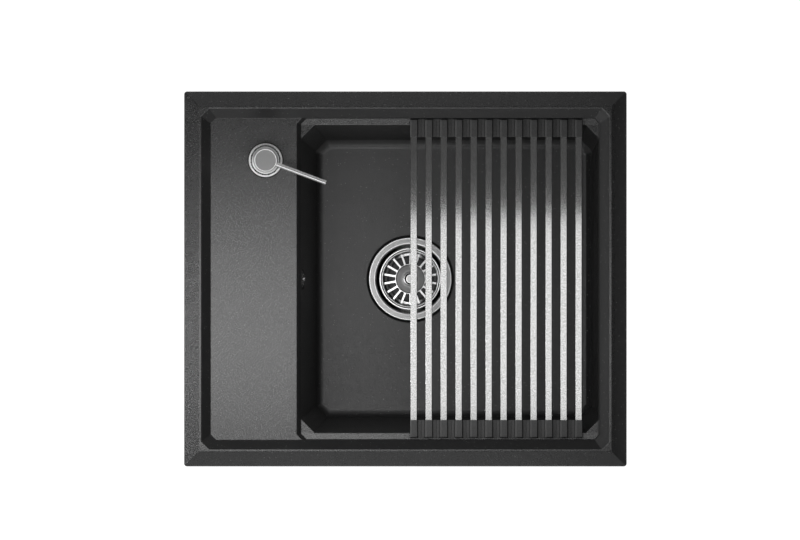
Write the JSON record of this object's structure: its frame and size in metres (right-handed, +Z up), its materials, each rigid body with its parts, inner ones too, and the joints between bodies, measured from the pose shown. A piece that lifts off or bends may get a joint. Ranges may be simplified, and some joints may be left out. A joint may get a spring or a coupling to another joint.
{
  "type": "kitchen sink",
  "caption": "Inset stone-composite kitchen sink with a shelf, strainer waste, overflow, soap dispenser and roll-up drying rack.",
  "frame": {"origin": "middle of the sink in plan, on the plane of the worktop where the rim's underside rests", "axes": "+X right along the longer side, +Y towards the wall behind, +Z up"},
  "size_m": [0.59, 0.5, 0.3284],
  "materials": {
    "stone": "moulded quartz composite, black with fine pale grains, matt",
    "foam": "closed-cell foam strip",
    "zinc_steel": "zinc-plated pressed steel",
    "flange_steel": "stainless steel, satin",
    "polished_steel": "stainless steel, polished",
    "black_rubber": "moulded rubber",
    "black_plastic": "moulded polypropylene",
    "pipe_plastic": "extruded polypropylene",
    "satin_steel": "stainless steel, fine brushed",
    "bottle_plastic": "blown polyethylene, milky",
    "white_plastic": "moulded plastic",
    "bar_steel": "stainless steel tube, grained",
    "silicone": "moulded silicone, matt"
  },
  "bodies": {
    "sink": {"basin": "stone", "rim_seal": "foam", "worktop_clip_brackets": "zinc_steel", "bracket_screws": "zinc_steel", "worktop_clamp_screws": "zinc_steel", "strainer_flange": "flange_steel", "flange_gasket": "black_rubber", "waste_body_gasket": "black_rubber", "waste_body": "black_plastic", "waste_screw": "polished_steel", "overflow_rosette": "polished_steel", "overflow_screw": "polished_steel", "overflow_gasket": "black_rubber", "overflow_head": "black_plastic", "overflow_pipe": "pipe_plastic", "overflow_pipe_nuts": "black_plastic", "dispenser_seal": "black_rubber", "dispenser_shank": "black_plastic", "dispenser_cover": "satin_steel", "dispenser_washer": "black_rubber", "dispenser_nut": "black_plastic", "dispenser_bottle": "bottle_plastic"},
    "strainer": {"strainer_basket": "polished_steel", "basket_knob": "polished_steel", "basket_stem": "black_plastic", "stopper_seal": "black_rubber"},
    "pump": {"pump_body": "black_plastic", "pump_inlet_ball": "polished_steel", "pump_dip_tube": "white_plastic", "pump_spring": "polished_steel"},
    "plunger": {"pump_stem": "white_plastic", "pump_piston": "white_plastic"},
    "spout": {"pump_head": "satin_steel", "pump_nozzle": "satin_steel"},
    "rack_01": {"rack_bar_01": "bar_steel", "rack_end_caps_01": "silicone"},
    "rack_02": {"rack_bar_02": "bar_steel", "rack_end_caps_02": "silicone"},
    "rack_03": {"rack_bar_03": "bar_steel", "rack_end_caps_03": "silicone"},
    "rack_04": {"rack_bar_04": "bar_steel", "rack_end_caps_04": "silicone"},
    "rack_05": {"rack_bar_05": "bar_steel", "rack_end_caps_05": "silicone"},
    "rack_06": {"rack_bar_06": "bar_steel", "rack_end_caps_06": "silicone"},
    "rack_07": {"rack_bar_07": "bar_steel", "rack_end_caps_07": "silicone"},
    "rack_08": {"rack_bar_08": "bar_steel", "rack_end_caps_08": "silicone"},
    "rack_09": {"rack_bar_09": "bar_steel", "rack_end_caps_09": "silicone"},
    "rack_10": {"rack_bar_10": "bar_steel", "rack_end_caps_10": "silicone"},
    "rack_11": {"rack_bar_11": "bar_steel", "rack_end_caps_11": "silicone"},
    "rack_12": {"rack_bar_12": "bar_steel", "rack_end_caps_12": "silicone"}
  },
  "joints": [
    {"name": "basket_lift", "type": "slide", "parent": "sink", "child": "strainer", "axis": [0, 0, 1], "range_m": [0, 0.15]},
    {"name": "pump_lift", "type": "slide", "parent": "sink", "child": "pump", "axis": [0, 0, 1], "range_m": [0, 0.185]},
    {"name": "pump_press", "type": "slide", "parent": "pump", "child": "plunger", "axis": [0, 0, -1], "range_m": [0, 0.012], "stiffness_N_per_m": 250, "springref_m": -0.014, "deforming": ["pump_spring"]},
    {"name": "head_swivel", "type": "hinge", "parent": "plunger", "child": "spout", "pos_m": [-0.1865, 0.1583, 0.03], "axis": [0, 0, 1], "continuous": true},
    {"name": "rack_slide", "type": "slide", "parent": "sink", "child": "rack_01", "axis": [1, 0, 0], "range_m": [-0.138, 0.016]},
    {"name": "rack_roll_02", "type": "hinge", "parent": "rack_01", "child": "rack_02", "pos_m": [0.0211, 0.0006, -0.0164], "axis": [0, -1, 0], "range_deg": [0, 30]},
    {"name": "rack_roll_03", "type": "hinge", "parent": "rack_02", "child": "rack_03", "pos_m": [0.0411, 0.0006, -0.0164], "axis": [0, -1, 0], "range_deg": [0, 30]},
    {"name": "rack_roll_04", "type": "hinge", "parent": "rack_03", "child": "rack_04", "pos_m": [0.0611, 0.0006, -0.0164], "axis": [0, -1, 0], "range_deg": [0, 30]},
    {"name": "rack_roll_05", "type": "hinge", "parent": "rack_04", "child": "rack_05", "pos_m": [0.0811, 0.0006, -0.0164], "axis": [0, -1, 0], "range_deg": [0, 30]},
    {"name": "rack_roll_06", "type": "hinge", "parent": "rack_05", "child": "rack_06", "pos_m": [0.1011, 0.0006, -0.0164], "axis": [0, -1, 0], "range_deg": [0, 30]},
    {"name": "rack_roll_07", "type": "hinge", "parent": "rack_06", "child": "rack_07", "pos_m": [0.1211, 0.0006, -0.0164], "axis": [0, -1, 0], "range_deg": [0, 30]},
    {"name": "rack_roll_08", "type": "hinge", "parent": "rack_07", "child": "rack_08", "pos_m": [0.1411, 0.0006, -0.0164], "axis": [0, -1, 0], "range_deg": [0, 30]},
    {"name": "rack_roll_09", "type": "hinge", "parent": "rack_08", "child": "rack_09", "pos_m": [0.1611, 0.0006, -0.0164], "axis": [0, -1, 0], "range_deg": [0, 30]},
    {"name": "rack_roll_10", "type": "hinge", "parent": "rack_09", "child": "rack_10", "pos_m": [0.1811, 0.0006, -0.0164], "axis": [0, -1, 0], "range_deg": [0, 30]},
    {"name": "rack_roll_11", "type": "hinge", "parent": "rack_10", "child": "rack_11", "pos_m": [0.2011, 0.0006, -0.0164], "axis": [0, -1, 0], "range_deg": [0, 30]},
    {"name": "rack_roll_12", "type": "hinge", "parent": "rack_11", "child": "rack_12", "pos_m": [0.2211, 0.0006, -0.0164], "axis": [0, -1, 0], "range_deg": [0, 30]}
  ],
  "couplings": [
    {"joint": "rack_roll_03", "follows": "rack_roll_02", "ratio": 1},
    {"joint": "rack_roll_04", "follows": "rack_roll_02", "ratio": 1},
    {"joint": "rack_roll_05", "follows": "rack_roll_02", "ratio": 1},
    {"joint": "rack_roll_06", "follows": "rack_roll_02", "ratio": 1},
    {"joint": "rack_roll_07", "follows": "rack_roll_02", "ratio": 1},
    {"joint": "rack_roll_08", "follows": "rack_roll_02", "ratio": 1},
    {"joint": "rack_roll_09", "follows": "rack_roll_02", "ratio": 1},
    {"joint": "rack_roll_10", "follows": "rack_roll_02", "ratio": 1},
    {"joint": "rack_roll_11", "follows": "rack_roll_02", "ratio": 1},
    {"joint": "rack_roll_12", "follows": "rack_roll_02", "ratio": 1}
  ]
}
